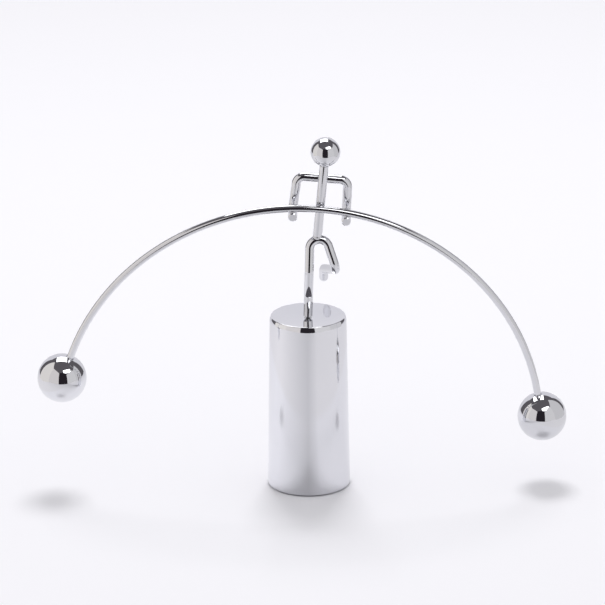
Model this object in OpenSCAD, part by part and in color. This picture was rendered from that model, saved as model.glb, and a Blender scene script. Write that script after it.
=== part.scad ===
// Counterweight balancing toy: a figure bent from round rod stands on one foot on a dished
// pillar, kept upright by two heavy balls that hang below the foot from a curved balance rod.
// Millimetres, +Z up. The origin is the centre of the pillar's foot, on the table.
// The figure is drawn at rest: it leans and nods a little, with its weight under its foot.

/* [Pillar] */
// Height of the pillar's rim above the table
base_h = 80; // [60:1:110]
// Diameter of the pillar at its rim
base_top_d = 34.3; // [30:0.1:44]
// Diameter of the pillar at its lower edge
base_bottom_d = 37.1; // [32:0.1:48]
// Thickness of the pillar's side wall
base_wall = 2; // [1.5:0.1:3]
// Thickness of the pillar's top under the middle of the dish
base_top_t = 2.5; // [2:0.1:4]
// Radius of the soft crown between the pillar's side and its rim
crown_r = 5; // [3:0.5:8]
// Angle that the soft crown turns through
crown_angle = 27; // [15:1:40]
// Radius of the rounded rim
rim_round = 0.5; // [0.3:0.1:1]
// Depth of the dish that keeps the foot in the middle
dish_depth = 1.3; // [0.6:0.1:2]
// Gap between the pillar's lower edge and the table
edge_lift = 0.6; // [0.3:0.1:1]

/* [Inside the pillar] */
// Height of the ballast ring
ballast_h = 46; // [20:1:50]
// Loose fit of the ballast ring, all round
ballast_gap = 0.2; // [0.1:0.05:0.5]
// Diameter of the post that takes the cover screw
post_d = 8; // [7:0.5:10]
// Number of ribs under the pillar's top
rib_count = 6; // [3:1:8]
// Thickness of each rib
rib_t = 1.5; // [1:0.1:2]
// How far each rib reaches in over the ballast ring
rib_reach = 2; // [1:0.5:4]
// Thickness of the bottom cover
cover_t = 3.2; // [2.8:0.1:5]
// Wall left outside the bottom cover
cover_lip = 1; // [0.7:0.1:1.3]
// Fit of the bottom cover in the pillar, all round
cover_gap = 0.1; // [0.05:0.05:0.3]
// Diameter of the cover screw's shank
screw_d = 2.7; // [2:0.1:3.5]
// Length of the cover screw under its head
screw_l = 12; // [9:1:16]
// Diameter of the cover screw's head
screw_head_d = 5.6; // [5:0.1:6.4]
// Height of the cover screw's head
screw_head_h = 1.5; // [1:0.1:1.8]
// Thickness of the washer under the screw's head
washer_t = 0.4; // [0.3:0.1:0.6]
// Diameter of the washer
washer_d = 7; // [6.8:0.1:8]
// Clearance round the screw
screw_gap = 0.1; // [0.05:0.05:0.3]
// Distance of the pad's edge inside the cover's edge
pad_inset = 0.95; // [0.5:0.05:4]
// Thickness of the pad under the pillar
pad_t = 1.2; // [1:0.1:2]

/* [Pivot] */
// Diameter of the ball that the figure stands on
pivot_d = 3; // [2.4:0.1:3.2]
// Running clearance of the ball in its socket and in its seat
pivot_gap = 0.05; // [0.03:0.01:0.08]
// Depth of the dimple that the ball stands in
dimple_depth = 0.1; // [0.08:0.01:0.3]
// Diameter of the hard seat under the ball
seat_d = 3.4; // [2.6:0.1:4]
// Height of the hard seat
seat_h = 2; // [1:0.1:3]
// Gap between the end of the leg and the dish
foot_gap = 0.75; // [0.7:0.05:1]
// Bevel at the end of the leg and of the hands
end_bevel = 0.4; // [0.2:0.05:0.5]

/* [Figure] */
// Diameter of the rod that the figure is bent from
rod_d = 4; // [3.8:0.1:5]
// Thinning of a rod in its bends, all round
bend_thin = 0.01; // [0.005:0.005:0.05]
// Gap that the brazing metal fills between two rods
braze_gap = 0.1; // [0.05:0.05:0.2]
// Distance of the spine to the right of the foot
spine_right = 0.93; // [0:0.01:1.2]
// Distance of the spine behind the foot
spine_back = 1.4; // [0:0.01:3]
// Diameter of the head
head_d = 13; // [10:0.5:18]
// Height of the head's centre above the pivot
head_up = 78.5; // [72:0.5:90]

/* [Legs] */
// Centre-line radius of the bends in the legs
leg_bend_r = 4.2; // [3.5:0.1:5]
// Height of the hip bend above the pivot, along the standing leg
leg_l = 32.1; // [26:0.1:36]
// Lean of the standing leg away from the spine
leg_splay = 3.5; // [0:0.1:5]
// Height of the standing leg's ankle bend above the pivot
stand_ankle_up = 9.4; // [7:0.1:12]
// Height of the standing leg's knee bend above the pivot
stand_knee_up = 21.6; // [18:0.1:25]
// Distance of that knee in front of the line from the foot to the hip
stand_knee_front = 2.7; // [1:0.1:4]
// Angle of the raised thigh out from the vertical
thigh_splay = 23.2; // [15:0.1:35]
// Straight length of the raised thigh
thigh_l = 7.8; // [6:0.1:12]
// Direction of the knee's bend, round the thigh
knee_roll_angle = 75.6; // [60:0.1:85]
// Angle of the knee's bend
knee_bend_angle = 83.9; // [65:0.1:90]
// Straight length of the raised shin
shin_l = 21.6; // [18:0.1:30]
// Direction of the ankle's bend, round the shin
ankle_roll_angle = -170.7; // [-180:0.1:-140]
// Angle of the ankle's bend
ankle_bend_angle = 48.7; // [40:0.1:80]
// Straight length of the raised foot
foot_l = 3.4; // [1:0.1:5]

/* [Arms] */
// Centre-line radius of the bends in the arms
arm_bend_r = 3.5; // [3:0.1:5]
// Height of the shoulder bar above the pivot
shoulder_up = 64.2; // [60:0.1:68]
// Width between the arms at the shoulders
shoulder_w = 22.4; // [18:0.1:28]
// Angle of each arm out from the vertical
arm_splay = 2.2; // [0:0.1:5]
// Height of the hands above the pivot
hand_up = 48.2; // [44:0.1:51]
// Reach of the hands from the arms to their ends
hand_reach = 9.5; // [8:0.1:12]

/* [Balance rod] */
// Diameter of the balance rod
bar_d = 3.2; // [2.4:0.1:4]
// Radius of the balance rod's curve
bar_r = 108.3; // [95:0.1:120]
// Half of the angle that the curve spans
bar_half_angle = 73.9; // [65:0.1:78]
// Straight length from the end of the curve to the centre of a ball
bar_tail = 14.7; // [12:0.1:18]
// Diameter of each ball
weight_d = 22; // [18:0.5:25]
// Depth of the hole in each ball
weight_hole = 8; // [5:0.5:9]
// Fit of the balance rod in a ball, all round
weight_gap = 0.05; // [0.02:0.01:0.1]

/* [Brazing] */
// Diameter of the bead at the hip
hip_bead_d = 4.7; // [4.4:0.1:5.4]
// Diameter of the bead at the shoulders
shoulder_bead_d = 3; // [2:0.1:3.4]
// Diameter of the beads where the balance rod is held
hold_bead_d = 2.4; // [1.8:0.1:2.6]
// Height of these beads between the rods
bead_h = 0.7; // [0.4:0.05:0.8]
// Fit of the beads at the hands under the balance rod
bead_fit = 0.03; // [0.02:0.005:0.05]
// Diameter of the disc of brazing metal at the neck
neck_bead_d = 3.4; // [2:0.1:3.8]

/* [Rest pose] */
// Lean of the figure to its right-hand ball
lean = 5.25; // [0:0.05:10]
// Nod of the figure towards the front
nod = 5.5; // [0:0.05:10]

/* [Hidden] */
$fn = 96;
fine_fn = 720;
cut = 1;
lap = 0.05;

chrome = [0.80, 0.81, 0.83];
steel = [0.62, 0.63, 0.65];
iron = [0.28, 0.28, 0.29];
black_plastic = [0.12, 0.12, 0.13];
dark_rubber = [0.16, 0.16, 0.17];

// Levels and radii of the pillar
crown_fit = 0.003;
taper_top = base_h - rim_round - (crown_r - rim_round) * sin(crown_angle);
crown_top = taper_top + crown_r * sin(crown_angle);
dish_z = base_h - dish_depth;
dish_r = base_top_d / 2 - crown_r + (crown_r - rim_round) * cos(crown_angle) + crown_fit;
dish_sphere_r = (dish_r * dish_r + dish_depth * dish_depth) / (2 * dish_depth);
cavity_top = dish_z - base_top_t;
cover_top = pad_t + cover_t;
cover_r = base_bottom_d / 2 - cover_lip - cover_gap;
ballast_top = cover_top + ballast_h;
ballast_r = base_r(ballast_top) - base_wall - ballast_gap;
seat_z = dish_z - seat_h;
head_room = washer_t + screw_head_h + screw_gap;
web_z = pad_t + head_room;

// The figure's pivot is the centre of the ball under its foot
pivot_r = pivot_d / 2;
pivot_z = dish_z - dimple_depth + pivot_gap + pivot_r;
foot_drop = pivot_z - dish_z - foot_gap;

// The hip bend, in the plane of the legs
rod_r = rod_d / 2;
hip_turn = 180 - thigh_splay + leg_splay;
hip_up = leg_l * cos(leg_splay) + leg_bend_r * sin(leg_splay) + leg_bend_r;
leg_tilt = atan(spine_back / hip_up);

// The standing leg leans forward from its ankle to its knee, and back from there to the hip
stand_shin_lean = atan(stand_knee_front / (stand_knee_up - stand_ankle_up));
stand_thigh_lean = atan(stand_knee_front / (leg_l + leg_bend_r - stand_knee_up));
stand_knee_turn = stand_shin_lean + stand_thigh_lean;
stand_shin_l = norm([stand_knee_front, stand_knee_up - stand_ankle_up]);
stand_thigh_l = norm([stand_knee_front, leg_l + leg_bend_r - stand_knee_up]) - leg_bend_r;
function bend_reach(turn) = leg_bend_r * tan(turn / 2);

// Shoulders, arms and hands
shoulder_turn = 90 - arm_splay;
shoulder_back = spine_back + rod_d + braze_gap;
shoulder_tangent = arm_bend_r * tan(shoulder_turn / 2);
arm_l = (shoulder_up - hand_up) / cos(arm_splay);
hand_x = shoulder_w / 2 + arm_l * sin(arm_splay);

// The balance rod crosses in front of the spine and over the hands
hold_gap = rod_r + bar_d / 2 + braze_gap;
bar_y = spine_back - hold_gap;
bar_centre_z = hand_up - sqrt(pow(bar_r - hold_gap, 2) - hand_x * hand_x);
bar_inside = weight_d / 2 - weight_hole;
hand_angle = asin(hand_x / (bar_r - hold_gap));

function base_r(z) = base_bottom_d / 2
    + (base_top_d - base_bottom_d) / 2 * (z - edge_lift) / (taper_top - edge_lift);

// A rod bent as on a bending machine: each step is a straight length, the direction of the next
// bend round the rod, and the angle of that bend. It starts at the origin and goes up, and what
// is given with it is drawn at its far end.
module bent_rod(d, radius, steps, i = 0) {
    last = i == len(steps) - 1;
    translate([0, 0, -lap]) cylinder(d = d, h = steps[i][0] + (last ? lap : 2 * lap));
    translate([0, 0, steps[i][0]])
        rotate([0, 0, steps[i][1]])
            if (last) {
                children();
            } else {
                elbow(d - 2 * bend_thin, radius, steps[i][2]);
                past_elbow(radius, steps[i][2]) bent_rod(d, radius, steps, i + 1) children();
            }
}

// One bend from straight up towards +X
module elbow(d, radius, turn) {
    translate([radius, 0, 0])
        rotate([90, 0, 0])
            rotate([0, 0, 180 - turn])
                rotate_extrude(angle = turn)
                    translate([radius, 0])
                        circle(d = d);
}

module past_elbow(radius, turn) {
    translate([radius * (1 - cos(turn)), 0, radius * sin(turn)])
        rotate([0, turn, 0])
            children();
}

// The bevelled end of a rod that ends at the origin and came from below
module rod_end(d) {
    translate([0, 0, -end_bevel - lap])
        cylinder(d1 = d - 2 * bend_thin, d2 = d - 2 * end_bevel, h = end_bevel + lap);
}

// Puts what is drawn round the pivot into its place at rest
module at_rest() {
    translate([0, 0, pivot_z])
        rotate([nod, lean, 0])
            children();
}

// Frame of the legs: the standing leg starts straight up from the pivot
module leg_frame() {
    rotate([-leg_tilt, 0, 0])
        rotate([0, -leg_splay, 0])
            children();
}

module spine_frame() {
    translate([spine_right, spine_back, 0]) children();
}

// Frame at the middle of the balance rod's curve
module bar_frame() {
    translate([spine_right, bar_y, bar_centre_z]) children();
}

module dish() {
    translate([0, 0, dish_z + dish_sphere_r]) sphere(r = dish_sphere_r, $fn = fine_fn);
}

module shell_outside() {
    translate([0, 0, edge_lift])
        cylinder(h = taper_top - edge_lift, d1 = base_bottom_d, d2 = base_top_d);
    intersection() {
        translate([0, 0, taper_top])
            rotate_extrude()
                translate([base_top_d / 2 - crown_r, 0])
                    circle(r = crown_r);
        translate([0, 0, taper_top - cut])
            cylinder(h = crown_top - taper_top + cut, d = base_top_d + cut);
    }
    translate([0, 0, base_h - rim_round])
        rotate_extrude()
            translate([dish_r, 0])
                circle(r = rim_round);
    translate([0, 0, edge_lift]) cylinder(h = base_h - edge_lift, r = dish_r);
}

module shell_cavity() {
    translate([0, 0, edge_lift - cut])
        cylinder(h = cavity_top - edge_lift + cut,
            r1 = base_r(edge_lift - cut) - base_wall, r2 = base_r(cavity_top) - base_wall);
    translate([0, 0, edge_lift - cut])
        cylinder(h = cover_top - edge_lift + cut, r = cover_r + cover_gap);
}

module shell_rib() {
    rib_in = ballast_r - rib_reach;
    translate([rib_in, -rib_t / 2, ballast_top + ballast_gap])
        cube([base_r(cavity_top) - base_wall / 2 - rib_in, rib_t,
            cavity_top + base_top_t / 2 - ballast_top - ballast_gap]);
}

module base_shell() {
    color(chrome)
        difference() {
            union() {
                difference() {
                    shell_outside();
                    dish();
                    shell_cavity();
                }
                translate([0, 0, cover_top])
                    cylinder(d = post_d, h = cavity_top + base_top_t / 2 - cover_top);
                for (i = [0 : rib_count - 1]) rotate([0, 0, i * 360 / rib_count]) shell_rib();
            }
            translate([0, 0, seat_z - pivot_gap])
                cylinder(d = seat_d + 2 * pivot_gap, h = seat_h + dish_depth + cut);
            translate([0, 0, cover_top - cut])
                cylinder(d = screw_d + 2 * screw_gap, h = screw_l + cut);
        }
}

module pivot_seat() {
    color(steel)
        difference() {
            translate([0, 0, seat_z]) cylinder(d = seat_d, h = seat_h + dish_depth);
            dish();
            translate([0, 0, pivot_z]) sphere(r = pivot_r + pivot_gap);
        }
}

module ballast_ring() {
    color(iron)
        translate([0, 0, cover_top])
            difference() {
                cylinder(r = ballast_r, h = ballast_h);
                translate([0, 0, -cut])
                    cylinder(d = post_d + 2 * ballast_gap, h = ballast_h + 2 * cut);
            }
}

module bottom_cover() {
    color(black_plastic)
        difference() {
            translate([0, 0, pad_t]) cylinder(r = cover_r, h = cover_t);
            cylinder(d = screw_d + 2 * screw_gap, h = cover_top + cut);
            cylinder(d = washer_d + 2 * screw_gap, h = web_z);
        }
}

module cover_screw() {
    head_z = web_z - washer_t - screw_head_h;
    color(steel)
        translate([0, 0, head_z]) {
            cylinder(d = screw_head_d, h = screw_head_h);
            cylinder(d = screw_d, h = screw_head_h + screw_l - screw_d / 2);
            translate([0, 0, screw_head_h + screw_l - screw_d / 2])
                cylinder(d1 = screw_d, d2 = screw_d / 2, h = screw_d / 2);
        }
}

module screw_washer() {
    color(steel)
        translate([0, 0, web_z - washer_t])
            difference() {
                cylinder(d = washer_d, h = washer_t);
                translate([0, 0, -cut])
                    cylinder(d = screw_d + 2 * screw_gap, h = washer_t + 2 * cut);
            }
}

module foot_pad() {
    color(dark_rubber) cylinder(r = cover_r - pad_inset, h = pad_t);
}

module pivot_ball() {
    color(steel) translate([0, 0, pivot_z]) sphere(d = pivot_d);
}

module legs() {
    leg_frame() {
        translate([0, 0, -foot_drop]) mirror([0, 0, 1]) rod_end(rod_d);
        translate([0, 0, end_bevel + lap - foot_drop])
            bent_rod(rod_d, leg_bend_r, [
                [stand_ankle_up - bend_reach(stand_shin_lean) + foot_drop - end_bevel - lap,
                    -90, stand_shin_lean],
                [stand_shin_l - bend_reach(stand_shin_lean) - bend_reach(stand_knee_turn),
                    180, stand_knee_turn],
                [stand_thigh_l - bend_reach(stand_knee_turn), -90, hip_turn],
                [thigh_l, knee_roll_angle, knee_bend_angle],
                [shin_l, ankle_roll_angle, ankle_bend_angle],
                [foot_l, 0, 0]
            ])
                sphere(d = rod_d - 2 * bend_thin);
    }
}

module leg_rod() {
    color(chrome)
        at_rest()
            difference() {
                legs();
                sphere(r = pivot_r + pivot_gap);
            }
}

module hip_bend(d) {
    leg_frame()
        translate([0, -stand_knee_front, stand_knee_up])
            rotate([-stand_thigh_lean, 0, 0])
                translate([0, 0, stand_thigh_l])
                    elbow(d, leg_bend_r, hip_turn);
}

// The spine's lower end is cut to sit on the hip bend
module spine() {
    difference() {
        spine_frame()
            translate([0, 0, hip_up])
                cylinder(d = rod_d, h = head_up - head_d / 2 - braze_gap - hip_up);
        hip_bend(rod_d + 2 * braze_gap);
    }
}

module spine_rod() {
    color(chrome) at_rest() spine();
}

module shoulder_bar() {
    translate([spine_right, shoulder_back, shoulder_up])
        rotate([0, 90, 0])
            cylinder(d = rod_d, h = shoulder_w - 2 * shoulder_tangent + 2 * lap, center = true);
}

// One arm, from the end of the shoulder bar to the end of the hand
module arm(side) {
    translate([spine_right, shoulder_back, shoulder_up])
        mirror([side < 0 ? 1 : 0, 0, 0])
            rotate([0, 90, 0])
                translate([0, 0, shoulder_w / 2 - shoulder_tangent]) {
                    elbow(rod_d - 2 * bend_thin, arm_bend_r, shoulder_turn);
                    past_elbow(arm_bend_r, shoulder_turn)
                        bent_rod(rod_d, arm_bend_r, [
                            [arm_l - shoulder_tangent - arm_bend_r, -90, 90],
                            [hand_reach - arm_bend_r - end_bevel - lap, 0, 0]
                        ])
                            translate([0, 0, end_bevel + lap]) rod_end(rod_d);
                }
}

module hand(side) {
    translate([spine_right + side * hand_x, shoulder_back - hand_reach, hand_up])
        rotate([-90, 0, 0])
            cylinder(d = rod_d, h = hand_reach);
}

module arm_rod() {
    color(chrome)
        at_rest() {
            shoulder_bar();
            arm(-1);
            arm(1);
        }
}

module head_ball() {
    color(chrome)
        at_rest()
            spine_frame()
                translate([0, 0, head_up])
                    sphere(d = head_d);
}

module balance_curve() {
    bar_frame()
        rotate([90, 0, 0])
            rotate([0, 0, 90 - bar_half_angle])
                rotate_extrude(angle = 2 * bar_half_angle, $fn = fine_fn)
                    translate([bar_r, 0])
                        circle(d = bar_d, $fn = 96);
}

// Frame at one end of the balance rod's curve, with +Z along the straight tail
module tail_frame(side) {
    bar_frame()
        mirror([side < 0 ? 1 : 0, 0, 0])
            rotate([0, bar_half_angle, 0])
                translate([0, 0, bar_r])
                    rotate([0, 90, 0])
                        children();
}

module balance_rod() {
    color(chrome)
        at_rest() {
            balance_curve();
            for (side = [-1, 1])
                tail_frame(side)
                    translate([0, 0, -lap])
                        cylinder(d = bar_d - 2 * bend_thin, h = bar_tail - bar_inside + lap);
        }
}

module weight(side) {
    tail_frame(side)
        difference() {
            translate([0, 0, bar_tail]) sphere(d = weight_d);
            translate([0, 0, bar_tail - weight_d])
                cylinder(d = bar_d + 2 * weight_gap, h = weight_d - bar_inside + weight_gap);
        }
}

module left_ball() {
    color(chrome) at_rest() weight(-1);
}

module right_ball() {
    color(chrome) at_rest() weight(1);
}

module hip_braze() {
    color(steel)
        at_rest()
            difference() {
                spine_frame() translate([0, 0, hip_up + rod_r / 2]) sphere(d = hip_bead_d);
                spine();
                hip_bend(rod_d - 2 * bend_thin);
            }
}

module shoulder_braze() {
    color(steel)
        at_rest()
            difference() {
                translate([spine_right, spine_back + (rod_d + braze_gap) / 2, shoulder_up])
                    rotate([90, 0, 0])
                        cylinder(d = shoulder_bead_d, h = bead_h, center = true);
                spine();
                shoulder_bar();
            }
}

module neck_braze() {
    color(steel)
        at_rest()
            spine_frame()
                difference() {
                    translate([0, 0, head_up - head_d / 2 - braze_gap])
                        cylinder(d = neck_bead_d, h = braze_gap + rod_r);
                    translate([0, 0, head_up]) sphere(d = head_d, $fn = fine_fn);
                }
}

module spine_hold_braze() {
    color(steel)
        at_rest()
            difference() {
                translate([spine_right, spine_back - rod_r - braze_gap / 2, bar_centre_z + bar_r])
                    rotate([90, 0, 0])
                        cylinder(d = hold_bead_d, h = bead_h, center = true);
                spine();
                balance_curve();
            }
}

// Frame where the balance rod lies on a hand, with +Z straight out of its curve
module hand_hold_frame(side) {
    bar_frame()
        rotate([0, side * hand_angle, 0])
            translate([0, 0, bar_r])
                children();
}

module hand_braze(side) {
    color(steel)
        at_rest()
            difference() {
                hand_hold_frame(side)
                    translate([0, 0, -(bar_d + braze_gap) / 2])
                        cylinder(d = hold_bead_d, h = bead_h, center = true);
                hand(side);
                hand_hold_frame(side)
                    rotate([0, 90, 0])
                        cylinder(d = bar_d + 2 * bead_fit, h = 2 * hold_bead_d, center = true);
            }
}

module left_hand_braze() {
    hand_braze(-1);
}

module right_hand_braze() {
    hand_braze(1);
}

base_shell();
pivot_seat();
ballast_ring();
bottom_cover();
cover_screw();
screw_washer();
foot_pad();
pivot_ball();
leg_rod();
spine_rod();
arm_rod();
head_ball();
balance_rod();
left_ball();
right_ball();
hip_braze();
shoulder_braze();
neck_braze();
spine_hold_braze();
left_hand_braze();
right_hand_braze();
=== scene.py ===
"""Dresses the counterweight balancing toy: smooth chromed rod, balls and pillar in a pale studio."""

import logging
import math
from dataclasses import dataclass
from enum import Enum

import bpy
from mathutils import Matrix, Vector


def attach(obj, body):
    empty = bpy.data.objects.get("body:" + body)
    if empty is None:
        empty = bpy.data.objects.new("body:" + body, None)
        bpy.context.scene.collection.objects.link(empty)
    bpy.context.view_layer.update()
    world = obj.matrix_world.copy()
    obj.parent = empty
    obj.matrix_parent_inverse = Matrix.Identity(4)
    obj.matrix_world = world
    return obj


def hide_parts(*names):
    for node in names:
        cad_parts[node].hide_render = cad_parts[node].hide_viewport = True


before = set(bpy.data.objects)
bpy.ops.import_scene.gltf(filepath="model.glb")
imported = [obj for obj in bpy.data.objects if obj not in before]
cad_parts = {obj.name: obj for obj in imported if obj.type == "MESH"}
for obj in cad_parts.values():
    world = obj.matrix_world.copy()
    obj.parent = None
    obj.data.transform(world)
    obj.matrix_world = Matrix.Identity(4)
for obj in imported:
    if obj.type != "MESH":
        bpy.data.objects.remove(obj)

log = logging.getLogger("balancing_toy")
# Metres in a millimetre
MM = 0.001
# Largest angle between faces that is shaded smooth, in degrees
SMOOTH_ANGLE = 35
# Corners closer than this are merged, in millimetres
MERGE_GAP = 0.001
# Angle of the last ring of a ball, next to its pole, in degrees
POLE_ANGLE = 178.5
# Part of the patch noise over which a finish goes from its smoothest to its roughest
PATCH_LOW = 0.35
PATCH_HIGH = 0.7
# Rings that a wave texture draws in one unit at scale 1, about
WAVES_PER_UNIT = 3.14


def linear(hex_colour: str) -> tuple[float, float, float, float]:
    """Turns an sRGB hex colour into linear colour.

    Args:
        hex_colour: Colour such as "#E4E5E9".

    Returns:
        Red, green, blue and alpha in linear light.
    """
    parts = [int(hex_colour[i:i + 2], 16) / 255 for i in (1, 3, 5)]
    red, green, blue = (c / 12.92 if c <= 0.04045 else ((c + 0.055) / 1.055) ** 2.4 for c in parts)
    return red, green, blue, 1.0


def add_node(tree: bpy.types.NodeTree, kind: str, inputs: dict | None = None,
             **settings: object) -> bpy.types.Node:
    """Adds one node with its settings, values and links.

    Args:
        tree: Node tree that gets the node.
        kind: Type name of the node.
        inputs: Values, or output sockets to link from, by input name or number.
        settings: Settings of the node by name.

    Returns:
        The new node.
    """
    node = tree.nodes.new(kind)
    for key, value in settings.items():
        setattr(node, key, value)
    for key, value in (inputs or {}).items():
        if isinstance(value, bpy.types.NodeSocket):
            tree.links.new(value, node.inputs[key])
        else:
            node.inputs[key].default_value = value
    return node


def at(x: float, y: float, z: float) -> Matrix:
    """Gives the move to a place in millimetres."""
    return Matrix.Translation(Vector((x, y, z)) * MM)


def turned(angle: float, axis: str) -> Matrix:
    """Gives the turn by an angle in degrees round an axis."""
    return Matrix.Rotation(math.radians(angle), 4, axis)


class Grain(Enum):
    """Kinds of fine relief on a surface."""

    MOTTLE = "mottle"
    PORES = "pores"
    RINGS = "rings"


@dataclass(frozen=True)
class Finish:
    """One surface finish, with patches that vary its colour and gloss and a fine relief."""

    name: str
    light: str
    dark: str
    metallic: float
    smoothest: float
    roughest: float
    patch_mm: float
    grain: Grain
    grain_mm: float
    grain_depth_mm: float

    def material(self) -> bpy.types.Material:
        """Makes the finish as a node material on Object coordinates.

        Returns:
            The material.
        """
        known = bpy.data.materials.get(self.name)
        if known:
            return known
        material = bpy.data.materials.new(self.name)
        material.use_nodes = True
        tree = material.node_tree
        tree.nodes.clear()
        place = add_node(tree, "ShaderNodeTexCoord").outputs["Object"]
        patches = add_node(tree, "ShaderNodeTexNoise", {
            "Vector": place, "Scale": 1 / (self.patch_mm * MM), "Detail": 3.0, "Roughness": 0.55,
        }).outputs["Fac"]
        gloss = add_node(tree, "ShaderNodeMapRange", {
            "Value": patches, "From Min": PATCH_LOW, "From Max": PATCH_HIGH,
            "To Min": self.smoothest, "To Max": self.roughest,
        }).outputs["Result"]
        tint = add_node(tree, "ShaderNodeMix", {
            "Factor": patches, "A": linear(self.dark), "B": linear(self.light),
        }, data_type="RGBA")
        relief = self.relief(tree, place)
        bump = add_node(tree, "ShaderNodeBump", {
            "Height": relief, "Strength": 1.0, "Distance": self.grain_depth_mm * MM,
        }).outputs["Normal"]
        surface = add_node(tree, "ShaderNodeBsdfPrincipled", {
            "Base Color": tint.outputs["Result"], "Metallic": self.metallic,
            "Roughness": gloss, "Normal": bump,
        })
        add_node(tree, "ShaderNodeOutputMaterial", {"Surface": surface.outputs["BSDF"]})
        return material

    def relief(self, tree: bpy.types.NodeTree, place: bpy.types.NodeSocket) -> bpy.types.NodeSocket:
        """Adds the height pattern of the finish.

        Args:
            tree: Node tree that gets the pattern.
            place: Object coordinates.

        Returns:
            The height from 0 to 1.
        """
        scale = 1 / (self.grain_mm * MM)
        if self.grain is Grain.PORES:
            return add_node(tree, "ShaderNodeTexVoronoi", {
                "Vector": place, "Scale": scale,
            }).outputs["Distance"]
        if self.grain is Grain.RINGS:
            return add_node(tree, "ShaderNodeTexWave", {
                "Vector": place, "Scale": scale / WAVES_PER_UNIT, "Distortion": 0.4, "Detail": 2.0,
            }, wave_type="RINGS", rings_direction="Z").outputs["Fac"]
        return add_node(tree, "ShaderNodeTexNoise", {
            "Vector": place, "Scale": scale, "Detail": 2.0,
        }).outputs["Fac"]


# Bright chrome over polished steel rod: a clear mirror with faint wiping marks
ROD_CHROME = Finish(
    "bright_chrome_on_steel_rod", light="#E6E6E9", dark="#DDDEE2", metallic=1.0,
    smoothest=0.03, roughest=0.07, patch_mm=9,
    grain=Grain.MOTTLE, grain_mm=5.0, grain_depth_mm=0.0006)
# Bright chrome over turned steel balls: the clearest mirror of the toy
BALL_CHROME = Finish(
    "bright_chrome_on_steel_ball", light="#E6E6E9", dark="#DFE0E4", metallic=1.0,
    smoothest=0.015, roughest=0.04, patch_mm=12,
    grain=Grain.MOTTLE, grain_mm=7.0, grain_depth_mm=0.0004)
# Chrome over a zinc casting: a mirror with a faint long waviness and a little haze
PILLAR_CHROME = Finish(
    "bright_chrome_on_zinc_casting", light="#EDEDF1", dark="#E6E7EB", metallic=1.0,
    smoothest=0.04, roughest=0.09, patch_mm=16,
    grain=Grain.MOTTLE, grain_mm=11.0, grain_depth_mm=0.0012)
# Chrome over brazing metal: a soft, satin shine on a slightly lumpy bead
BRAZE_CHROME = Finish(
    "chrome_on_brazing_metal", light="#E4E4E7", dark="#D6D6D9", metallic=1.0,
    smoothest=0.3, roughest=0.45, patch_mm=0.8,
    grain=Grain.MOTTLE, grain_mm=0.5, grain_depth_mm=0.02)
# Ground bearing steel: fine turned rings and a grey shine
BEARING_STEEL = Finish(
    "ground_bearing_steel", light="#CFCFD0", dark="#B5B6B8", metallic=1.0,
    smoothest=0.1, roughest=0.22, patch_mm=1.5,
    grain=Grain.RINGS, grain_mm=0.15, grain_depth_mm=0.001)
# Zinc plated steel: pale, slightly blue, with dull patches
ZINC_STEEL = Finish(
    "zinc_plated_steel", light="#C9CDD2", dark="#A9ADB2", metallic=1.0,
    smoothest=0.2, roughest=0.4, patch_mm=1.2,
    grain=Grain.MOTTLE, grain_mm=0.4, grain_depth_mm=0.006)
# Raw cast iron: dark grey and sandy from the mould
CAST_IRON = Finish(
    "raw_cast_iron", light="#5B5B5C", dark="#3A3A3B", metallic=0.7,
    smoothest=0.45, roughest=0.75, patch_mm=4,
    grain=Grain.MOTTLE, grain_mm=0.9, grain_depth_mm=0.08)
# Moulded black plastic: matt, with the even spark texture of the mould
BLACK_PLASTIC = Finish(
    "moulded_black_plastic", light="#2A2A2C", dark="#1D1D1F", metallic=0.0,
    smoothest=0.45, roughest=0.6, patch_mm=6,
    grain=Grain.MOTTLE, grain_mm=0.5, grain_depth_mm=0.02)
# Foamed dark rubber: matt, with small open pores
PAD_RUBBER = Finish(
    "foamed_dark_rubber", light="#3A3A3C", dark="#252527", metallic=0.0,
    smoothest=0.8, roughest=0.95, patch_mm=3,
    grain=Grain.PORES, grain_mm=0.7, grain_depth_mm=0.12)


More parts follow.
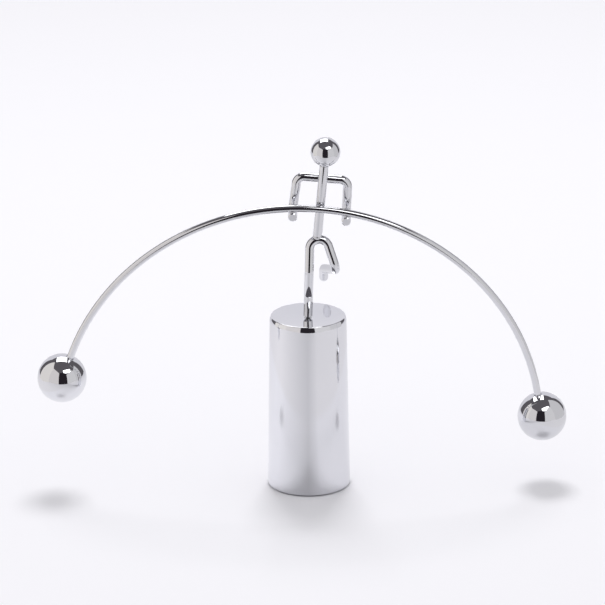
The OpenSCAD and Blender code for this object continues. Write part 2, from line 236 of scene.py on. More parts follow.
@dataclass
class RingWork:
    """A round piece drawn ring by ring along its path, as rod is bent on a jig."""

    name: str
    place: Matrix
    radius: float
    segments: int = 64

    def begin(self) -> None:
        """Adds the first ring at the path's start and opens it for editing."""
        bpy.ops.object.select_all(action="DESELECT")
        bpy.ops.mesh.primitive_circle_add(
            vertices=self.segments, radius=self.radius * MM, fill_type="NOTHING",
            location=self.place.translation, rotation=self.place.to_euler())
        bpy.context.object.name = self.name
        bpy.ops.object.transform_apply(location=True, rotation=True, scale=True)
        bpy.ops.object.mode_set(mode="EDIT")
        bpy.ops.mesh.select_all(action="SELECT")

    def ring(self, radius: float, advance: float = 0.0) -> None:
        """Extrudes the open ring along the path and gives it a new size.

        Args:
            radius: Radius of the new ring in millimetres.
            advance: How far along the path the new ring lies, in millimetres.
        """
        step = self.place.to_3x3() @ Vector((0, 0, advance * MM))
        bpy.ops.mesh.extrude_region_move(TRANSFORM_OT_translate={"value": step})
        self.place = Matrix.Translation(step) @ self.place
        factor = radius / self.radius
        bpy.ops.transform.resize(value=(factor, factor, factor), center_override=self.place.translation)
        self.radius = radius

    def straight(self, length: float) -> None:
        """Extrudes the open ring straight on by a length in millimetres."""
        self.ring(self.radius, length)

    def roll(self, angle: float) -> None:
        """Turns the direction of the next bend round the rod by an angle in degrees."""
        self.place = self.place @ turned(angle, "Z")

    def bend(self, radius: float, angle: float, steps: int) -> None:
        """Spins the open ring through one bend.

        Args:
            radius: Radius of the bend at the rod's middle, in millimetres.
            angle: Angle of the bend in degrees.
            steps: Number of rings in the bend.
        """
        turn = math.radians(angle)
        bpy.ops.mesh.spin(
            steps=steps, angle=turn, center=self.place @ Vector((radius * MM, 0, 0)),
            axis=self.place.to_3x3() @ Vector((0, -1, 0)))
        self.place = (self.place @ at(radius * (1 - math.cos(turn)), 0, radius * math.sin(turn))
                      @ turned(angle, "Y"))

    def arc(self, radius: float, first: float, last: float, steps: int, core: float = 0.0) -> None:
        """Follows a rounded outline with rings.

        Args:
            radius: Radius of the outline in millimetres.
            first: Angle at the start in degrees, 0 pointing back along the path and 90 outwards.
            last: Angle at the end in degrees.
            steps: Number of rings.
            core: Distance of the outline's centre from the path in millimetres.
        """
        for i in range(steps):
            before = math.radians(first + (last - first) * i / steps)
            after = math.radians(first + (last - first) * (i + 1) / steps)
            self.ring(core + radius * math.sin(after), radius * (math.cos(before) - math.cos(after)))

    def finish(self) -> bpy.types.Object:
        """Closes the open ends, turns the faces outwards and smooths the shading.

        Returns:
            The finished piece.
        """
        bpy.ops.mesh.select_all(action="SELECT")
        bpy.ops.mesh.fill_holes(sides=0)
        bpy.ops.mesh.select_all(action="SELECT")
        bpy.ops.mesh.remove_doubles(threshold=MERGE_GAP * MM)
        bpy.ops.mesh.normals_make_consistent(inside=False)
        bpy.ops.object.mode_set(mode="OBJECT")
        bpy.ops.object.shade_smooth_by_angle(angle=math.radians(SMOOTH_ANGLE))
        return bpy.context.object


def put_on(piece: bpy.types.Object, body: str, node: str, finish: Finish) -> None:
    """Gives a finished piece its finish, its body and the node that it stands for.

    Args:
        piece: The finished piece.
        body: Body that the piece moves with.
        node: Node that the piece stands for.
        finish: Finish of the piece.
    """
    piece.data.materials.clear()
    piece.data.materials.append(finish.material())
    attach(piece, body)
    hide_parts(node)
    log.info("%s: %d faces, %s", piece.name, len(piece.data.polygons), finish.name)


def dress_nodes(finishes: dict[str, Finish]) -> None:
    """Gives carried-over nodes their finishes.

    Args:
        finishes: Finish by node name.
    """
    for name, finish in finishes.items():
        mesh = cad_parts[name].data
        mesh.materials.clear()
        mesh.materials.append(finish.material())
        log.info("%s: kept, %s", name, finish.name)


@dataclass
class Pillar:
    """The plated pillar with its dished top, and what is inside and under it. Sizes in millimetres."""

    height: float = 80
    top_d: float = 34.3
    bottom_d: float = 37.1
    wall: float = 2
    top_t: float = 2.5
    crown_r: float = 5
    crown_angle: float = 27
    rim_round: float = 0.5
    dish_depth: float = 1.3
    edge_lift: float = 0.6
    lower_bevel: float = 0.15
    cover_top: float = 4.4
    cover_room: float = 17.55
    post_d: float = 8
    screw_room: float = 2.9
    screw_l: float = 12
    seat_room: float = 3.5
    seat_z: float = 76.65
    rib_count: int = 6
    rib_t: float = 1.5
    rib_in: float = 13.4
    rib_z: float = 50.6
    rib_root: float = 0.5
    rib_bevel: float = 0.15
    segments: int = 192
    side_levels: tuple[float, ...] = (1.2, 20, 40, 60, 76.5)
    dish_rings: int = 40
    dish_closing: float = 1.6

    @property
    def taper_top(self) -> float:
        """Height at which the side starts to ease into the rim."""
        ease = (self.crown_r - self.rim_round) * math.sin(math.radians(self.crown_angle))
        return self.height - self.rim_round - ease

    @property
    def dish_r(self) -> float:
        """Radius of the dish at the rim."""
        return (self.top_d / 2 - self.crown_r
                + (self.crown_r - self.rim_round) * math.cos(math.radians(self.crown_angle)))

    def side_r(self, z: float) -> float:
        """Gives the radius of the side at a height."""
        share = (z - self.edge_lift) / (self.taper_top - self.edge_lift)
        return self.bottom_d / 2 + (self.top_d - self.bottom_d) / 2 * share

    def dish_height(self, radius: float) -> float:
        """Gives the height of the dish at a distance from the pillar's middle."""
        sphere = (self.dish_r ** 2 + self.dish_depth ** 2) / (2 * self.dish_depth)
        return self.height - self.dish_depth + sphere - math.sqrt(sphere ** 2 - radius ** 2)

    def build(self) -> bpy.types.Object:
        """Models the shell as one turned outline, from the screw hole inside to the dish on top.

        Returns:
            The shell.
        """
        cavity_top = self.height - self.dish_depth - self.top_t
        hole_top = self.cover_top + self.screw_l
        shell = RingWork("pillar_shell", at(0, 0, hole_top), self.screw_room / 2, self.segments)
        shell.begin()
        shell.straight(-self.screw_l)
        shell.ring(self.post_d / 2)
        shell.straight(cavity_top - self.cover_top)
        shell.ring(self.side_r(cavity_top) - self.wall)
        shell.ring(self.side_r(self.cover_top) - self.wall, self.cover_top - cavity_top)
        shell.ring(self.cover_room)
        shell.straight(self.edge_lift - self.cover_top)
        shell.ring(self.bottom_d / 2 - self.lower_bevel)
        shell.ring(self.side_r(self.edge_lift + self.lower_bevel), self.lower_bevel)
        z = self.edge_lift + self.lower_bevel
        for level in (*self.side_levels, self.taper_top):
            shell.ring(self.side_r(level), level - z)
            z = level
        crown_end = 90 + self.crown_angle
        shell.arc(self.crown_r, 90, crown_end, steps=14, core=self.top_d / 2 - self.crown_r)
        shell.arc(self.rim_round, crown_end, 180, steps=10, core=self.dish_r)
        self.dish(shell)
        shell.straight(self.seat_z - self.dish_height(self.seat_room / 2))
        piece = shell.finish()
        self.ribs(cavity_top)
        return piece

    def dish(self, shell: RingWork) -> None:
        """Draws the hollow of the dish from the rim to the seat's pocket.

        Args:
            shell: Work whose open ring lies on the rim.
        """
        last = self.seat_room / 2
        for i in range(1, self.dish_rings + 1):
            radius = self.dish_r - (self.dish_r - last) * (i / self.dish_rings) ** self.dish_closing
            shell.ring(radius, self.dish_height(radius) - self.dish_height(shell.radius))

    def ribs(self, cavity_top: float) -> None:
        """Adds the ribs that press on the ballast ring to the shell, which is still the active piece.

        Args:
            cavity_top: Height of the ceiling inside, in millimetres.
        """
        out = self.side_r(cavity_top) - self.wall + self.rib_root
        top = cavity_top + self.rib_root
        bpy.ops.object.mode_set(mode="EDIT")
        for i in range(self.rib_count):
            bpy.ops.mesh.select_all(action="DESELECT")
            turn = turned(i * 360 / self.rib_count, "Z")
            bpy.ops.mesh.primitive_cube_add(
                size=1, rotation=turn.to_euler(),
                location=turn @ (Vector(((self.rib_in + out) / 2, 0, (self.rib_z + top) / 2)) * MM),
                scale=((out - self.rib_in) * MM, self.rib_t * MM, (top - self.rib_z) * MM))
            bpy.ops.mesh.bevel(offset=self.rib_bevel * MM, segments=2, affect="EDGES")
        bpy.ops.object.mode_set(mode="OBJECT")

    def dress(self) -> None:
        """Builds the shell and gives every piece of the pillar its finish."""
        put_on(self.build(), "base", "base_shell", PILLAR_CHROME)
        dress_nodes({
            "ballast_ring": CAST_IRON, "bottom_cover": BLACK_PLASTIC, "cover_screw": ZINC_STEEL,
            "screw_washer": ZINC_STEEL, "foot_pad": PAD_RUBBER, "pivot_seat": BEARING_STEEL,
        })


@dataclass
class Figure:
    """The figure bent from round rod, its balance rod and balls. Sizes in millimetres and degrees."""

    pivot_z: float = 80.15
    lean: float = 5.25
    nod: float = 5.5
    rod_d: float = 4
    end_bevel: float = 0.4
    socket_r: float = 1.55
    socket_pole: float = 172
    foot_drop: float = 0.7
    spine_right: float = 0.93
    spine_back: float = 1.4
    spine_foot: float = 6
    spine_tip: float = 0.4
    braze_gap: float = 0.1
    head_d: float = 13
    head_up: float = 78.5
    head_flat: float = 0.08
    hip_bead_d: float = 4.16
    hip_bead_up: float = 1.25
    leg_bend_r: float = 4.2
    leg_l: float = 32.1
    leg_splay: float = 3.5
    stand_ankle_up: float = 9.4
    stand_knee_up: float = 21.6
    stand_knee_front: float = 2.7
    thigh_splay: float = 23.2
    thigh_l: float = 7.8
    knee_roll: float = 75.6
    knee_bend: float = 83.9
    shin_l: float = 21.6
    ankle_roll: float = -170.7
    ankle_bend: float = 48.7
    foot_l: float = 3.4
    toe_pole: float = 176
    arm_bend_r: float = 3.5
    shoulder_up: float = 64.2
    shoulder_w: float = 22.4
    arm_splay: float = 2.2
    hand_up: float = 48.2
    hand_reach: float = 9.5
    bar_d: float = 3.2
    bar_r: float = 108.3
    bar_half_angle: float = 73.9
    bar_tail: float = 14.7
    weight_d: float = 22
    weight_hole: float = 8
    weight_gap: float = 0.05
    hole_bevel: float = 0.2

    @property
    def rest(self) -> Matrix:
        """Place of the figure's pivot at rest, with its lean and nod."""
        return at(0, 0, self.pivot_z) @ turned(self.lean, "Y") @ turned(self.nod, "X")

    @property
    def hip_turn(self) -> float:
        """Angle of the hip bend."""
        return 180 - self.thigh_splay + self.leg_splay

    @property
    def hip_up(self) -> float:
        """Height of the hip bend's crest above the pivot."""
        splay = math.radians(self.leg_splay)
        return self.leg_l * math.cos(splay) + self.leg_bend_r * math.sin(splay) + self.leg_bend_r

    @property
    def leg_place(self) -> Matrix:
        """Frame of the legs, with +Z up the standing leg."""
        tilt = math.degrees(math.atan(self.spine_back / self.hip_up))
        return self.rest @ turned(-tilt, "X") @ turned(-self.leg_splay, "Y")

    @property
    def stand_shin_up(self) -> float:
        """Height from the standing leg's ankle to its knee."""
        return self.stand_knee_up - self.stand_ankle_up

    @property
    def stand_thigh_up(self) -> float:
        """Height from the standing leg's knee to the crest of the hip bend."""
        return self.leg_l + self.leg_bend_r - self.stand_knee_up

    @property
    def stand_shin_lean(self) -> float:
        """Angle by which the standing leg leans forward below its knee."""
        return math.degrees(math.atan2(self.stand_knee_front, self.stand_shin_up))

    @property
    def stand_thigh_lean(self) -> float:
        """Angle by which the standing leg leans back above its knee."""
        return math.degrees(math.atan2(self.stand_knee_front, self.stand_thigh_up))

    @property
    def stand_shin_l(self) -> float:
        """Length of the standing leg between the corners at its ankle and its knee."""
        return math.hypot(self.stand_knee_front, self.stand_shin_up)

    @property
    def stand_thigh_l(self) -> float:
        """Length of the standing leg from the corner at its knee to the hip bend."""
        return math.hypot(self.stand_knee_front, self.stand_thigh_up) - self.leg_bend_r

    @property
    def hip_place(self) -> Matrix:
        """Frame at the start of the hip bend, with +Z along the rod."""
        return (self.leg_place @ at(0, -self.stand_knee_front, self.stand_knee_up)
                @ turned(-self.stand_thigh_lean, "X") @ at(0, 0, self.stand_thigh_l))

    @property
    def shoulder_tangent(self) -> float:
        """Length that a shoulder bend takes from the shoulder bar."""
        return self.arm_bend_r * math.tan(math.radians(90 - self.arm_splay) / 2)

    @property
    def shoulder_back(self) -> float:
        """Distance of the shoulder bar behind the pivot."""
        return self.spine_back + self.rod_d + self.braze_gap

    @property
    def arm_l(self) -> float:
        """Length of an arm between the corners at the shoulder and the hand."""
        return (self.shoulder_up - self.hand_up) / math.cos(math.radians(self.arm_splay))

    @property
    def hand_x(self) -> float:
        """Distance of each hand from the spine, to the side."""
        return self.shoulder_w / 2 + self.arm_l * math.sin(math.radians(self.arm_splay))

    @property
    def hold_gap(self) -> float:
        """Distance between the middles of the balance rod and a rod that it lies on."""
        return self.rod_d / 2 + self.bar_d / 2 + self.braze_gap

    @property
    def bar_place(self) -> Matrix:
        """Frame at the middle of the balance rod's curve."""
        drop = math.sqrt((self.bar_r - self.hold_gap) ** 2 - self.hand_x ** 2)
        return self.rest @ at(self.spine_right, self.spine_back - self.hold_gap, self.hand_up - drop)

    def bend_reach(self, turn: float) -> float:
        """Gives the length that a bend in the legs takes from each side of its corner."""
        return self.leg_bend_r * math.tan(math.radians(turn) / 2)

    def leg_rod(self) -> bpy.types.Object:
        """Models both legs from one rod, from the socket in the standing foot to the raised foot.

        Returns:
            The rod.
        """
        rod_r = self.rod_d / 2
        socket_start = math.radians(self.socket_pole)
        socket_edge = math.degrees(math.acos(self.foot_drop / self.socket_r))
        start = self.leg_place @ at(0, 0, -self.socket_r * math.cos(socket_start))
        rod = RingWork("leg_rod_bent", start, self.socket_r * math.sin(socket_start))
        rod.begin()
        rod.arc(self.socket_r, self.socket_pole, socket_edge, steps=14)
        rod.ring(rod_r - self.end_bevel)
        rod.ring(rod_r, self.end_bevel)
        knee_turn = self.stand_shin_lean + self.stand_thigh_lean
        ankle_reach = self.bend_reach(self.stand_shin_lean)
        knee_reach = self.bend_reach(knee_turn)
        rod.straight(self.stand_ankle_up - ankle_reach + self.foot_drop - self.end_bevel)
        rod.roll(-90)
        rod.bend(self.leg_bend_r, self.stand_shin_lean, steps=12)
        rod.straight(self.stand_shin_l - ankle_reach - knee_reach)
        rod.roll(180)
        rod.bend(self.leg_bend_r, knee_turn, steps=18)
        rod.straight(self.stand_thigh_l - knee_reach)
        rod.roll(-90)
        rod.bend(self.leg_bend_r, self.hip_turn, steps=48)
        rod.straight(self.thigh_l)
        rod.roll(self.knee_roll)
        rod.bend(self.leg_bend_r, self.knee_bend, steps=28)
        rod.straight(self.shin_l)
        rod.roll(self.ankle_roll)
        rod.bend(self.leg_bend_r, self.ankle_bend, steps=28)
        rod.straight(self.foot_l)
        rod.arc(rod_r, 90, self.toe_pole, steps=18)
        return rod.finish()

    def spine_rod(self) -> bpy.types.Object:
        """Models the spine, its lower end cut round to sit on the hip bend.

        Returns:
            The rod.
        """
        cutter = RingWork("hip_cutter", self.hip_place, self.rod_d / 2 + self.braze_gap)
        cutter.begin()
        cutter.bend(self.leg_bend_r, self.hip_turn, steps=64)
        tool = cutter.finish()
        place = self.rest @ at(self.spine_right, self.spine_back, self.hip_up)
        length = self.head_up - self.head_d / 2 - self.braze_gap - self.hip_up
        rod = RingWork("spine_rod_cut", place, self.rod_d / 2)
        rod.begin()
        rod.straight(self.spine_foot)
        rod.straight(length - self.spine_foot - self.spine_tip)
        rod.straight(self.spine_tip)
        spine = rod.finish()
        cut = spine.modifiers.new("hip_cut", "BOOLEAN")
        cut.operation = "DIFFERENCE"
        cut.solver = "EXACT"
        cut.object = tool
        bpy.ops.object.modifier_apply(modifier=cut.name)
        bpy.data.objects.remove(tool)
        bpy.ops.object.shade_smooth_by_angle(angle=math.radians(SMOOTH_ANGLE))
        return spine

    def arm_rod(self) -> bpy.types.Object:
        """Models both arms and the shoulder bar from one rod, from the left hand to the right one.

        Returns:
            The rod.
        """
        rod_r = self.rod_d / 2
        shoulder_turn = 90 - self.arm_splay
        arm = self.arm_l - self.arm_bend_r - self.shoulder_tangent
        hand = self.hand_reach - self.arm_bend_r - self.end_bevel
        start = (self.rest
                 @ at(self.spine_right - self.hand_x, self.shoulder_back - self.hand_reach, self.hand_up)
                 @ turned(-90, "X") @ turned(-90 + self.arm_splay, "Z"))
        rod = RingWork("arm_rod_bent", start, rod_r - self.end_bevel)
        rod.begin()
        rod.ring(rod_r, self.end_bevel)
        rod.straight(hand)
        rod.bend(self.arm_bend_r, 90, steps=32)
        rod.straight(arm)
        rod.roll(90)
        rod.bend(self.arm_bend_r, shoulder_turn, steps=32)
        rod.straight(self.shoulder_w - 2 * self.shoulder_tangent)
        rod.bend(self.arm_bend_r, shoulder_turn, steps=32)
        rod.straight(arm)
        rod.roll(-90)
        rod.bend(self.arm_bend_r, 90, steps=32)
        rod.straight(hand)
        rod.ring(rod_r - self.end_bevel, self.end_bevel)
        return rod.finish()

    def head_ball(self) -> bpy.types.Object:
        """Models the head as a turned ball with a small flat for the neck.

        Returns:
            The ball.
        """
        radius = self.head_d / 2
        first = math.degrees(math.acos(1 - self.head_flat / radius))
        start = self.rest @ at(self.spine_right, self.spine_back, self.head_up - radius + self.head_flat)
        ball = RingWork("head_ball_turned", start, radius * math.sin(math.radians(first)), segments=96)
        ball.begin()
        ball.arc(radius, first, POLE_ANGLE, steps=72)
        return ball.finish()

    def hip_bead(self) -> bpy.types.Object:
        """Models the brazing metal at the hip as a bead filed down between the spine and the bend.

        Returns:
            The bead.
        """
        radius = self.hip_bead_d / 2
        first = 180 - POLE_ANGLE
        middle = self.hip_up + self.hip_bead_up
        start = self.rest @ at(self.spine_right, self.spine_back, middle - radius)
        bead = RingWork("hip_braze_filed", start, radius * math.sin(math.radians(first)))
        bead.begin()
        bead.arc(radius, first, POLE_ANGLE, steps=48)
        return bead.finish()

    def balance_rod(self) -> bpy.types.Object:
        """Models the balance rod with its straight tails, from inside the left ball to inside the right.

        Returns:
            The rod.
        """
        tail = self.bar_tail - (self.weight_d / 2 - self.weight_hole)
        start = (self.bar_place @ turned(-self.bar_half_angle, "Y") @ at(0, 0, self.bar_r)
                 @ turned(90, "Y") @ at(0, 0, -tail))
        rod = RingWork("balance_rod_bent", start, self.bar_d / 2)
        rod.begin()
        rod.straight(tail)
        rod.bend(self.bar_r, 2 * self.bar_half_angle, steps=180)
        rod.straight(tail)
        return rod.finish()

    def weight(self, name: str, side: int) -> bpy.types.Object:
        """Models one heavy ball, turned and drilled for the balance rod.

        Args:
            name: Name of the piece.
            side: -1 for the left ball and 1 for the right one.

        Returns:
            The ball.
        """
        radius = self.weight_d / 2
        hole = self.bar_d / 2 + self.weight_gap
        bottom = radius - self.weight_hole
        mouth = hole + self.hole_bevel
        place = (self.bar_place @ turned(side * self.bar_half_angle, "Y")
                 @ at(side * self.bar_tail, 0, self.bar_r) @ turned(side * 90, "Y"))
        ball = RingWork(name, place @ at(0, 0, -bottom), hole, segments=128)
        ball.begin()
        first = math.degrees(math.asin(mouth / radius))
        lip = radius * math.cos(math.radians(first))
        ball.straight(-(lip - self.hole_bevel - bottom))
        ball.ring(mouth, -self.hole_bevel)
        ball.arc(radius, first, POLE_ANGLE, steps=84)
        return ball.finish()

    def dress(self) -> None:
        """Builds every rod and ball of the figure and gives all pieces their finishes."""
        put_on(self.leg_rod(), "figure", "leg_rod", ROD_CHROME)
        put_on(self.spine_rod(), "figure", "spine_rod", ROD_CHROME)
        put_on(self.arm_rod(), "figure", "arm_rod", ROD_CHROME)
        put_on(self.head_ball(), "figure", "head_ball", BALL_CHROME)
        put_on(self.balance_rod(), "figure", "balance_rod", ROD_CHROME)
        put_on(self.weight("left_ball_turned", -1), "figure", "left_ball", BALL_CHROME)
        put_on(self.weight("right_ball_turned", 1), "figure", "right_ball", BALL_CHROME)
        put_on(self.hip_bead(), "figure", "hip_braze", BRAZE_CHROME)
        brazes = ("shoulder", "neck", "spine_hold", "left_hand", "right_hand")
        dress_nodes({f"{name}_braze": BRAZE_CHROME for name in brazes} | {"pivot_ball": BEARING_STEEL})


@dataclass
class Card:
    """A flat studio card that only shows in the chrome. Sizes in metres."""

    name: str
    centre: tuple[float, float, float]
    towards: tuple[float, float, float]
    width: float
    height: float
    colour: str
    strength: float = 1.0

    @classmethod
    def standing(cls, name: str, start: tuple[float, float], end: tuple[float, float],
                 bottom: float, top: float, colour: str) -> "Card":
        """Makes a card that stands upright between two places on the floor, facing the toy.

        Args:
            name: Name of the card.
            start: Place of its first edge.
            end: Place of its second edge.
            bottom: Height of its lower edge.
            top: Height of its upper edge.
            colour: sRGB hex colour.

        Returns:
            The card.
        """
        middle = Vector((start[0] + end[0], start[1] + end[1], bottom + top)) / 2
        along = Vector((end[0] - start[0], end[1] - start[1], 0))
        facing = along.cross(Vector((0, 0, 1)))
        if facing.dot(middle) > 0:
            facing = -facing
        return cls(name, tuple(middle), tuple(middle + facing), along.length, top - bottom, colour)

    def build(self) -> None:
        """Adds the card facing its target, seen by reflections only."""
        bpy.ops.object.select_all(action="DESELECT")
        aim = Vector(self.towards) - Vector(self.centre)
        bpy.ops.mesh.primitive_plane_add(
            size=1, location=self.centre, rotation=aim.to_track_quat("Z", "Y").to_euler())
        card = bpy.context.object
        card.name = self.name
        card.scale = (self.width, self.height, 1)
        bpy.ops.object.transform_apply(location=True, rotation=True, scale=True)
        material = bpy.data.materials.new(self.name)
        material.use_nodes = True
        tree = material.node_tree
        tree.nodes.clear()
        glow = add_node(tree, "ShaderNodeEmission", {
            "Color": linear(self.colour), "Strength": self.strength,
        })
        add_node(tree, "ShaderNodeOutputMaterial", {"Surface": glow.outputs["Emission"]})
        card.data.materials.append(material)
        only_in_chrome(card)


def only_in_chrome(thing: bpy.types.Object) -> None:
    """Marks a studio thing as stage that only reflections see.

    Args:
        thing: The studio thing.
    """
    thing.visible_camera = False
    thing.visible_diffuse = False
    thing.visible_shadow = False
    thing.visible_transmission = False
    thing.visible_volume_scatter = False


@dataclass(frozen=True)
class Fade:
    """A stretch of the turn round the toy over which the painted shade of the table's wedge towards the
    dark gap clears. Angles in radians.
    """

    start: float
    end: float
    share: float


@dataclass
class Studio:
    """Pale floor, white surround, soft overhead light, cards and camera.

    Sizes and places are in metres, the camera's roll in degrees and the turn of the painted shade wedge
    in radians.
    """

    floor_r: float = 6.0
    floor_colour: str = "#F9F8FD"
    paint_roughness: float = 0.9
    table_front: float = -0.27
    table_back: float = 1.3
    table_w: float = 1.2
    table_lift: float = 0.00002
    board_place: tuple[float, float, float] = (-0.005, 0.038, 0)
    board_r: float = 0.162
    board_edge: float = 0.006
    paper_colour: str = "#F4F2F5"
    # Painted shade on the table towards the dark gap in front, and the turns over which it clears; it
    # stays partly on the right side
    gap_shade_colour: str = "#D4D3D7"
    gap_shade_turn: float = -0.02
    gap_shade_left: Fade = Fade(0, -1.4, 1.0)
    gap_shade_right: Fade = Fade(0, 0.45, 0.62)
    gap_shade_far_right: Fade = Fade(1.9, 3.0, 0.38)
    back_start: float = 0.03
    back_end: float = 0.32
    back_colour: str = "#DAD9DF"
    light_colour: str = "#FFFFFF"
    ambient: float = 0.675
    room_colour: str = "#625F63"
    surround_colour: str = "#FAF9FD"
    lamp_power: float = 12.0
    lamp_w: float = 0.5
    lamp_place: tuple[float, float, float] = (0.0, 0.7, 1.6)
    lamp_aim: tuple[float, float, float] = (0, -0.95, 0)
    camera_place: tuple[float, float, float] = (0, -1.6924, 0.6929)
    camera_aim: tuple[float, float, float] = (-0.0024, 0, 0.0859)
    camera_roll: float = -0.4
    camera_reach: float = 50
    sensor_mm: float = 36
    lens_mm: float = 240.5

    def matt_paint(self, name: str) -> bpy.types.Material:
        """Makes a matt paint in the floor's colour.

        Args:
            name: Name of the paint.

        Returns:
            The material.
        """
        material = bpy.data.materials.new(name)
        material.use_nodes = True
        shader = material.node_tree.nodes["Principled BSDF"]
        shader.inputs["Base Color"].default_value = linear(self.floor_colour)
        shader.inputs["Roughness"].default_value = self.paint_roughness
        shader.inputs["Specular IOR Level"].default_value = 0.0
        return material

    def floor(self) -> None:
        """Adds the pale floor, which the chrome doesn't show."""
        bpy.ops.object.select_all(action="DESELECT")
        bpy.ops.mesh.primitive_circle_add(vertices=96, radius=self.floor_r, fill_type="NGON")
        floor = bpy.context.object
        floor.name = "studio_floor"
        floor.data.materials.append(self.matt_paint("white_painted_board"))
        floor.visible_glossy = False

    def table(self) -> None:
        """Adds the table top that the chrome shows in the floor's place."""
        bpy.ops.object.select_all(action="DESELECT")
        middle = (self.table_front + self.table_back) / 2
        bpy.ops.mesh.primitive_plane_add(size=1, location=(0, middle, self.table_lift))
        table = bpy.context.object
        table.name = "table_in_chrome"
        table.scale = (self.table_w, self.table_back - self.table_front, 1)
        bpy.ops.object.transform_apply(location=True, rotation=True, scale=True)
        table.data.materials.append(self.table_paint())
        only_in_chrome(table)

    def table_paint(self) -> bpy.types.Material:
        """Makes a white board round the toy on duller paper, darker behind, with painted shade towards
        the dark gap in front.

        Returns:
            The material.
        """
        material = self.matt_paint("white_board_on_paper_with_painted_gap_shade")
        tree = material.node_tree
        place = add_node(tree, "ShaderNodeTexCoord").outputs["Object"]
        flat = add_node(tree, "ShaderNodeVectorMath", {0: place, 1: (1, 1, 0)}, operation="MULTIPLY")
        reach = add_node(tree, "ShaderNodeVectorMath", {
            0: flat.outputs[0], 1: self.board_place,
        }, operation="DISTANCE")
        off_board = add_node(tree, "ShaderNodeMapRange", {
            "Value": reach.outputs["Value"],
            "From Min": self.board_r - self.board_edge, "From Max": self.board_r + self.board_edge,
        })
        tint = add_node(tree, "ShaderNodeMix", {
            "Factor": off_board.outputs["Result"],
            "A": linear(self.floor_colour), "B": linear(self.paper_colour),
        }, data_type="RGBA")
        # Painted shade towards the dark gap in front of the toy
        gap_shaded = add_node(tree, "ShaderNodeMix", {
            "Factor": self.clear_of_gap(tree, place),
            "A": linear(self.gap_shade_colour), "B": tint.outputs["Result"],
        }, data_type="RGBA")
        side = add_node(tree, "ShaderNodeSeparateXYZ", {0: place})
        behind = add_node(tree, "ShaderNodeMapRange", {
            "Value": side.outputs["Y"], "From Min": self.back_start, "From Max": self.back_end,
        })
        sheet = add_node(tree, "ShaderNodeMix", {
            "Factor": behind.outputs["Result"],
            "A": gap_shaded.outputs["Result"], "B": linear(self.back_colour),
        }, data_type="RGBA")
        tree.links.new(sheet.outputs["Result"], tree.nodes["Principled BSDF"].inputs["Base Color"])
        return material

    def clear_of_gap(self, tree: bpy.types.NodeTree, place: bpy.types.NodeSocket) -> bpy.types.NodeSocket:
        """Adds how far a place on the table is turned away from the dark gap in front of the toy, the
        mask of the gap's painted shade.

        Args:
            tree: Node tree of the table's paint.
            place: Object coordinates.

        Returns:
            0 towards the gap, rising to 1 away from it.
        """
        side = add_node(tree, "ShaderNodeSeparateXYZ", {0: place})
        front = add_node(tree, "ShaderNodeMath", {0: side.outputs["Y"], 1: -1}, operation="MULTIPLY")
        turn = add_node(tree, "ShaderNodeMath", {
            0: side.outputs["X"], 1: front.outputs[0],
        }, operation="ARCTAN2")
        off = add_node(tree, "ShaderNodeMath", {
            0: turn.outputs[0], 1: self.gap_shade_turn,
        }, operation="SUBTRACT")
        left, right, far_right = (add_node(tree, "ShaderNodeMapRange", {
            "Value": off.outputs[0], "From Min": fade.start, "From Max": fade.end, "To Max": fade.share,
        }).outputs["Result"] for fade in (self.gap_shade_left, self.gap_shade_right, self.gap_shade_far_right))
        right_side = add_node(tree, "ShaderNodeMath", {0: right, 1: far_right}, operation="ADD")
        clear = add_node(tree, "ShaderNodeMath", {0: left, 1: right_side.outputs[0]}, operation="ADD")
        return clear.outputs[0]

    def surround(self) -> None:
        """Makes the world: white to the camera, dim to the chrome, soft light to the floor."""
        world = bpy.data.worlds.new("studio_surround")
        bpy.context.scene.world = world
        world.use_nodes = True
        tree = world.node_tree
        tree.nodes.clear()
        path = add_node(tree, "ShaderNodeLightPath")
        soft = add_node(tree, "ShaderNodeBackground", {
            "Color": linear(self.light_colour), "Strength": self.ambient,
        })
        room = add_node(tree, "ShaderNodeBackground", {
            "Color": linear(self.room_colour), "Strength": 1.0,
        })
        white = add_node(tree, "ShaderNodeBackground", {
            "Color": linear(self.surround_colour), "Strength": 1.0,
        })
        chrome = add_node(tree, "ShaderNodeMixShader", {
            0: path.outputs["Is Glossy Ray"], 1: soft.outputs[0], 2: room.outputs[0],
        })
        clear = add_node(tree, "ShaderNodeMixShader", {
            0: path.outputs["Is Transmission Ray"], 1: chrome.outputs[0], 2: white.outputs[0],
        })
        seen = add_node(tree, "ShaderNodeMixShader", {
            0: path.outputs["Is Camera Ray"], 1: clear.outputs[0], 2: white.outputs[0],
        })
        add_node(tree, "ShaderNodeOutputWorld", {"Surface": seen.outputs[0]})

    def lamp(self) -> None:
        """Adds the soft overhead light, a little behind the toy."""
        data = bpy.data.lights.new("overhead_softbox", "AREA")
        data.shape = "RECTANGLE"
        data.size = self.lamp_w
        data.size_y = self.lamp_w
        data.energy = self.lamp_power
        lamp = bpy.data.objects.new("overhead_softbox", data)
        bpy.context.scene.collection.objects.link(lamp)
        lamp.location = self.lamp_place
        aim = Vector(self.lamp_aim) - lamp.location
        lamp.rotation_euler = aim.to_track_quat("-Z", "Y").to_euler()
        lamp.visible_glossy = False
        lamp.visible_camera = False

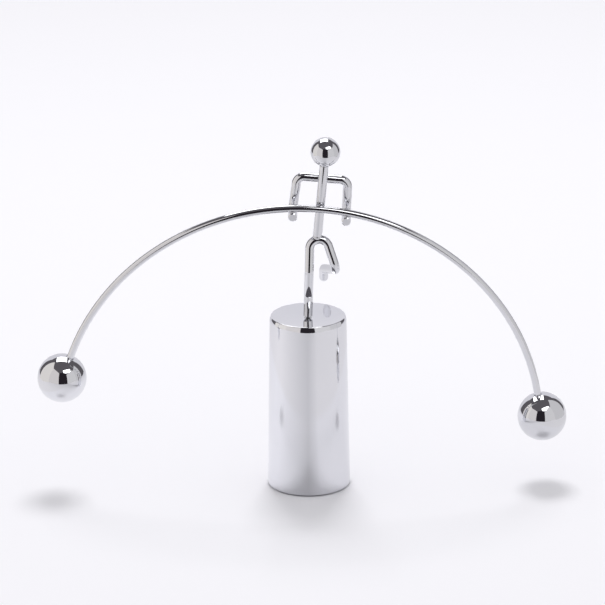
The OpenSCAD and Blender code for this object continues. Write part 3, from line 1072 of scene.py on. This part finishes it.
    def cards(self) -> None:
        """Adds the boards and lights that the chrome shows."""
        for card in (
            Card("overhead_glow", (-0.1, 0.55, 0.9), towards=(-0.1, 0.55, 0.0),
                 width=0.6, height=0.7, colour="#FFFFFF", strength=3.0),
            Card("back_paper", (0.0, 1.2, 0.4), towards=(0.0, 0.0, 0.4),
                 width=2.0, height=1.6, colour="#E3E2E8"),
            Card.standing("left_board", (-0.33, 0.13), (-0.45, -0.19),
                          bottom=-0.02, top=0.53, colour="#EEEAE6"),
            Card.standing("left_front_board", (-0.45, -0.19), (-0.24, -0.58),
                          bottom=-0.2, top=0.55, colour="#E2DEDD"),
            Card.standing("right_front_board", (0.23, -0.64), (0.38, -0.16),
                          bottom=-0.2, top=0.5, colour="#DEDDDE"),
            Card.standing("right_board", (0.38, -0.16), (0.26, 0.11),
                          bottom=-0.02, top=0.42, colour="#D4D3D5"),
            Card.standing("dark_gap", (-0.6, -0.75), (0.6, -0.75),
                          bottom=-0.6, top=0.75, colour="#2A262B"),
            Card("front_softbox", (0.34, -0.57, 0.82), towards=(0.0, 0.0, 0.07),
                 width=0.62, height=0.3, colour="#FFFFFF", strength=3.0),
        ):
            card.build()

    def camera(self) -> None:
        """Adds the camera at the photograph's place."""
        data = bpy.data.cameras.new("studio_camera")
        data.sensor_width = self.sensor_mm
        data.lens = self.lens_mm
        data.clip_end = self.camera_reach
        camera = bpy.data.objects.new("studio_camera", data)
        bpy.context.scene.collection.objects.link(camera)
        camera.location = self.camera_place
        aim = Vector(self.camera_aim) - camera.location
        turn = aim.to_track_quat("-Z", "Y").to_matrix().to_4x4() @ turned(self.camera_roll, "Z")
        camera.rotation_euler = turn.to_euler()
        bpy.context.scene.camera = camera

    def build(self) -> None:
        """Builds the whole studio."""
        bpy.context.scene.view_settings.view_transform = "Standard"
        self.camera()
        self.floor()
        self.table()
        self.surround()
        self.lamp()
        self.cards()


def main() -> None:
    """Builds the studio and the toy."""
    logging.basicConfig(level=logging.INFO, format="%(message)s")
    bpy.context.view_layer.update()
    Studio().build()
    Pillar().dress()
    Figure().dress()


if __name__ == "__main__":
    main()
